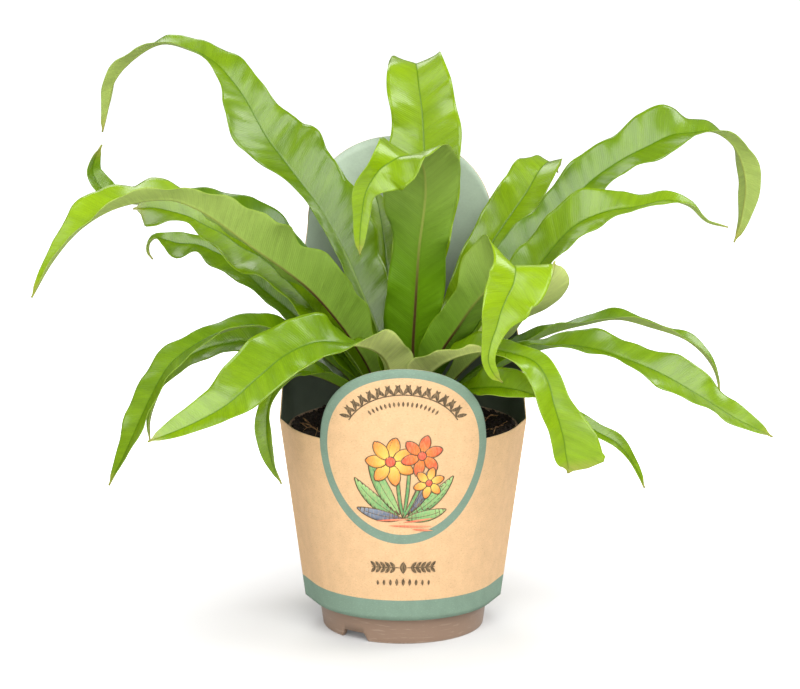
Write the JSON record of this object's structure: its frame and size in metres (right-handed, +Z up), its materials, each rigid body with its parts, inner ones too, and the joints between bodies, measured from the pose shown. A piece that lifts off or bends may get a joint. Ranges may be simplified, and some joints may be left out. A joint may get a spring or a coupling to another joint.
{
  "type": "potted fern",
  "caption": "Strap-leaved bird's-nest type fern with wavy arching fronds, in a tapered plastic nursery pot inside a folded card sleeve with a round front tab and a tall rear panel.",
  "frame": {"origin": "Middle of the underside of the bounding box, on the surface that the pot stands on. The pot's own axis is 5.0 mm to -X and 9.8 mm to +Y of it.", "axes": "+Z up, along the pot's axis. -Y is the front, which the sleeve's round tab faces. +X is to the right for a viewer who faces the tab."},
  "size_m": [0.3674, 0.2182, 0.2972],
  "materials": {
    "pot_plastic": "satin moulded plastic",
    "sleeve_card": "uncoated kraft card, printed",
    "potting_soil": "dark peat and bark",
    "crown_scales": "brown scaly leaf bases",
    "frond_blade": "glossy living leaf"
  },
  "bodies": {
    "root": {"pot": "pot_plastic", "card_sleeve": "sleeve_card", "soil": "potting_soil", "crown": "crown_scales", "frond_back_right": "frond_blade", "frond_centre_back": "frond_blade", "frond_centre_front": "frond_blade", "frond_folded_right": "frond_blade", "frond_front_left": "frond_blade", "frond_front_right": "frond_blade", "frond_hanging_left": "frond_blade", "frond_inner_left": "frond_blade", "frond_left_back": "frond_blade", "frond_left_bright": "frond_blade", "frond_left_hook": "frond_blade", "frond_left_long": "frond_blade", "frond_long_right": "frond_blade", "frond_low_left": "frond_blade", "frond_mid_right": "frond_blade", "frond_outer_left": "frond_blade", "frond_short_right": "frond_blade", "frond_small_right": "frond_blade", "frond_tail_right": "frond_blade", "frond_thin_right": "frond_blade", "frond_upper_left_arch": "frond_blade", "frond_upper_right_arch": "frond_blade"}
  },
  "joints": []
}
